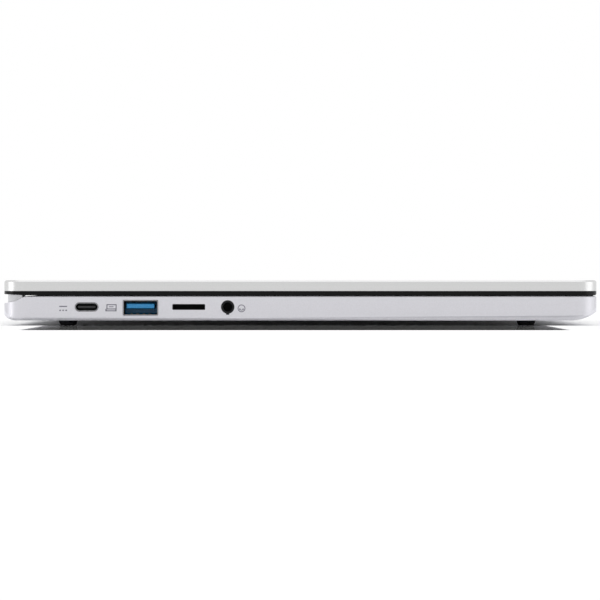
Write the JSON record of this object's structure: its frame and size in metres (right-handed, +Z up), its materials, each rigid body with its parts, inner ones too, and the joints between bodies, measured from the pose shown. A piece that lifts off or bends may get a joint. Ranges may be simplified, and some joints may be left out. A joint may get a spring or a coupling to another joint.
{
  "type": "laptop computer",
  "caption": "Thin silver portable computer with a hinged lid, black screen frame, keyboard, touchpad, fan and side ports, shown closed on its rubber feet.",
  "frame": {"origin": "under the middle of the machine, on the surface that its four feet stand on", "axes": "+X to the user's right, +Y towards the hinge edge, +Z up"},
  "size_m": [0.322, 0.224, 0.0172],
  "materials": {
    "silver_case": "satin silver paint, fine metallic flake",
    "silver_lid": "fine bead-blasted and clear anodised",
    "black_bezel": "moulded black plastic, satin",
    "rubber_black": "moulded rubber",
    "key_plastic": "moulded silver-grey plastic",
    "pad_surface": "satin sheet",
    "steel_sheet": "stamped sheet",
    "screw_steel": "machined",
    "dome_rubber": "silicone sheet",
    "board_green": "solder mask",
    "board_blue": "solder mask",
    "chip_black": "moulded epoxy",
    "copper": "drawn copper",
    "fan_plastic": "moulded",
    "battery_wrap": "wrapped cells",
    "port_steel": "plated stamped shell",
    "port_blue": "moulded blue plastic",
    "port_black": "moulded",
    "screen_glass": "anti-glare polariser",
    "antenna_foil": "flexible circuit",
    "switch_resin": "moulded"
  },
  "bodies": {
    "base": {"top_case": "silver_case", "bottom_cover": "silver_case", "bottom_screws": "screw_steel", "front_feet": "rubber_black", "rear_feet": "rubber_black", "keyboard_plate": "steel_sheet", "key_domes": "dome_rubber", "touchpad_bracket": "steel_sheet", "touchpad_switch": "switch_resin", "mainboard": "board_green", "processor": "chip_black", "memory_chips": "chip_black", "cold_plate": "copper", "heat_pipe": "copper", "fin_stack": "copper", "fan_housing": "fan_plastic", "battery_pack": "battery_wrap", "left_speaker": "fan_plastic", "right_speaker": "fan_plastic", "solid_state_drive": "board_blue", "wireless_card": "board_blue", "io_board": "board_green", "usb_c_port": "port_steel", "usb_c_tongue": "port_black", "usb_a_port": "port_steel", "usb_a_tongue": "port_blue", "card_reader": "port_black", "audio_jack": "port_black", "right_usb_c_port": "port_steel", "right_usb_a_port": "port_steel", "right_usb_a_tongue": "port_blue", "hinge_brackets": "steel_sheet", "hinge_caps": "silver_case", "hinge_screws": "screw_steel"},
    "lid": {"lid_cover": "silver_lid", "display_panel": "screen_glass", "screen_bezel": "black_bezel", "lid_seal": "rubber_black", "webcam_module": "chip_black", "antennas": "antenna_foil", "hinge_arms": "steel_sheet", "hinge_shafts": "screw_steel"},
    "shutter": {"webcam_shutter": "black_bezel"},
    "fan": {"fan_rotor": "fan_plastic"},
    "touchpad": {"touchpad": "pad_surface"},
    "function_keys": {"function_keys": "key_plastic"},
    "power_key": {"power_key": "key_plastic"},
    "number_keys": {"number_keys": "key_plastic"},
    "backspace_key": {"backspace_key": "key_plastic"},
    "tab_key": {"tab_key": "key_plastic"},
    "upper_letter_keys": {"upper_letter_keys": "key_plastic"},
    "caps_key": {"caps_key": "key_plastic"},
    "home_letter_keys": {"home_letter_keys": "key_plastic"},
    "enter_key": {"enter_key": "key_plastic"},
    "left_shift_key": {"left_shift_key": "key_plastic"},
    "lower_letter_keys": {"lower_letter_keys": "key_plastic"},
    "right_shift_key": {"right_shift_key": "key_plastic"},
    "modifier_keys": {"modifier_keys": "key_plastic"},
    "space_bar": {"space_bar": "key_plastic"},
    "arrow_keys": {"arrow_keys": "key_plastic"}
  },
  "joints": [
    {"name": "lid_hinge", "type": "hinge", "parent": "base", "child": "lid", "pos_m": [0, 0.1092, 0.01435], "axis": [-1, 0, 0], "range_deg": [0, 140]},
    {"name": "shutter_slide", "type": "slide", "parent": "lid", "child": "shutter", "axis": [1, 0, 0], "range_m": [0, 0.006]},
    {"name": "fan_spin", "type": "hinge", "parent": "base", "child": "fan", "pos_m": [0.044, 0.062, 0.005], "axis": [0, 0, 1], "continuous": true},
    {"name": "touchpad_click", "type": "hinge", "parent": "base", "child": "touchpad", "pos_m": [0, -0.024, 0.0095], "axis": [1, 0, 0], "range_deg": [0, 0.376], "stiffness_Nm_per_rad": 2, "springref_deg": -1.15},
    {"name": "function_press", "type": "slide", "parent": "base", "child": "function_keys", "axis": [0, 0, -1], "range_m": [0, 0.0012], "stiffness_N_per_m": 350, "springref_m": -0.0008},
    {"name": "power_press", "type": "slide", "parent": "base", "child": "power_key", "axis": [0, 0, -1], "range_m": [0, 0.0012], "stiffness_N_per_m": 350, "springref_m": -0.0008},
    {"name": "number_press", "type": "slide", "parent": "base", "child": "number_keys", "axis": [0, 0, -1], "range_m": [0, 0.0012], "stiffness_N_per_m": 350, "springref_m": -0.0008},
    {"name": "backspace_press", "type": "slide", "parent": "base", "child": "backspace_key", "axis": [0, 0, -1], "range_m": [0, 0.0012], "stiffness_N_per_m": 350, "springref_m": -0.0008},
    {"name": "tab_press", "type": "slide", "parent": "base", "child": "tab_key", "axis": [0, 0, -1], "range_m": [0, 0.0012], "stiffness_N_per_m": 350, "springref_m": -0.0008},
    {"name": "upper_letter_press", "type": "slide", "parent": "base", "child": "upper_letter_keys", "axis": [0, 0, -1], "range_m": [0, 0.0012], "stiffness_N_per_m": 350, "springref_m": -0.0008},
    {"name": "caps_press", "type": "slide", "parent": "base", "child": "caps_key", "axis": [0, 0, -1], "range_m": [0, 0.0012], "stiffness_N_per_m": 350, "springref_m": -0.0008},
    {"name": "home_letter_press", "type": "slide", "parent": "base", "child": "home_letter_keys", "axis": [0, 0, -1], "range_m": [0, 0.0012], "stiffness_N_per_m": 350, "springref_m": -0.0008},
    {"name": "enter_press", "type": "slide", "parent": "base", "child": "enter_key", "axis": [0, 0, -1], "range_m": [0, 0.0012], "stiffness_N_per_m": 350, "springref_m": -0.0008},
    {"name": "left_shift_press", "type": "slide", "parent": "base", "child": "left_shift_key", "axis": [0, 0, -1], "range_m": [0, 0.0012], "stiffness_N_per_m": 350, "springref_m": -0.0008},
    {"name": "lower_letter_press", "type": "slide", "parent": "base", "child": "lower_letter_keys", "axis": [0, 0, -1], "range_m": [0, 0.0012], "stiffness_N_per_m": 350, "springref_m": -0.0008},
    {"name": "right_shift_press", "type": "slide", "parent": "base", "child": "right_shift_key", "axis": [0, 0, -1], "range_m": [0, 0.0012], "stiffness_N_per_m": 350, "springref_m": -0.0008},
    {"name": "modifier_press", "type": "slide", "parent": "base", "child": "modifier_keys", "axis": [0, 0, -1], "range_m": [0, 0.0012], "stiffness_N_per_m": 350, "springref_m": -0.0008},
    {"name": "space_bar_press", "type": "slide", "parent": "base", "child": "space_bar", "axis": [0, 0, -1], "range_m": [0, 0.0012], "stiffness_N_per_m": 350, "springref_m": -0.0008},
    {"name": "arrow_press", "type": "slide", "parent": "base", "child": "arrow_keys", "axis": [0, 0, -1], "range_m": [0, 0.0012], "stiffness_N_per_m": 350, "springref_m": -0.0008}
  ]
}
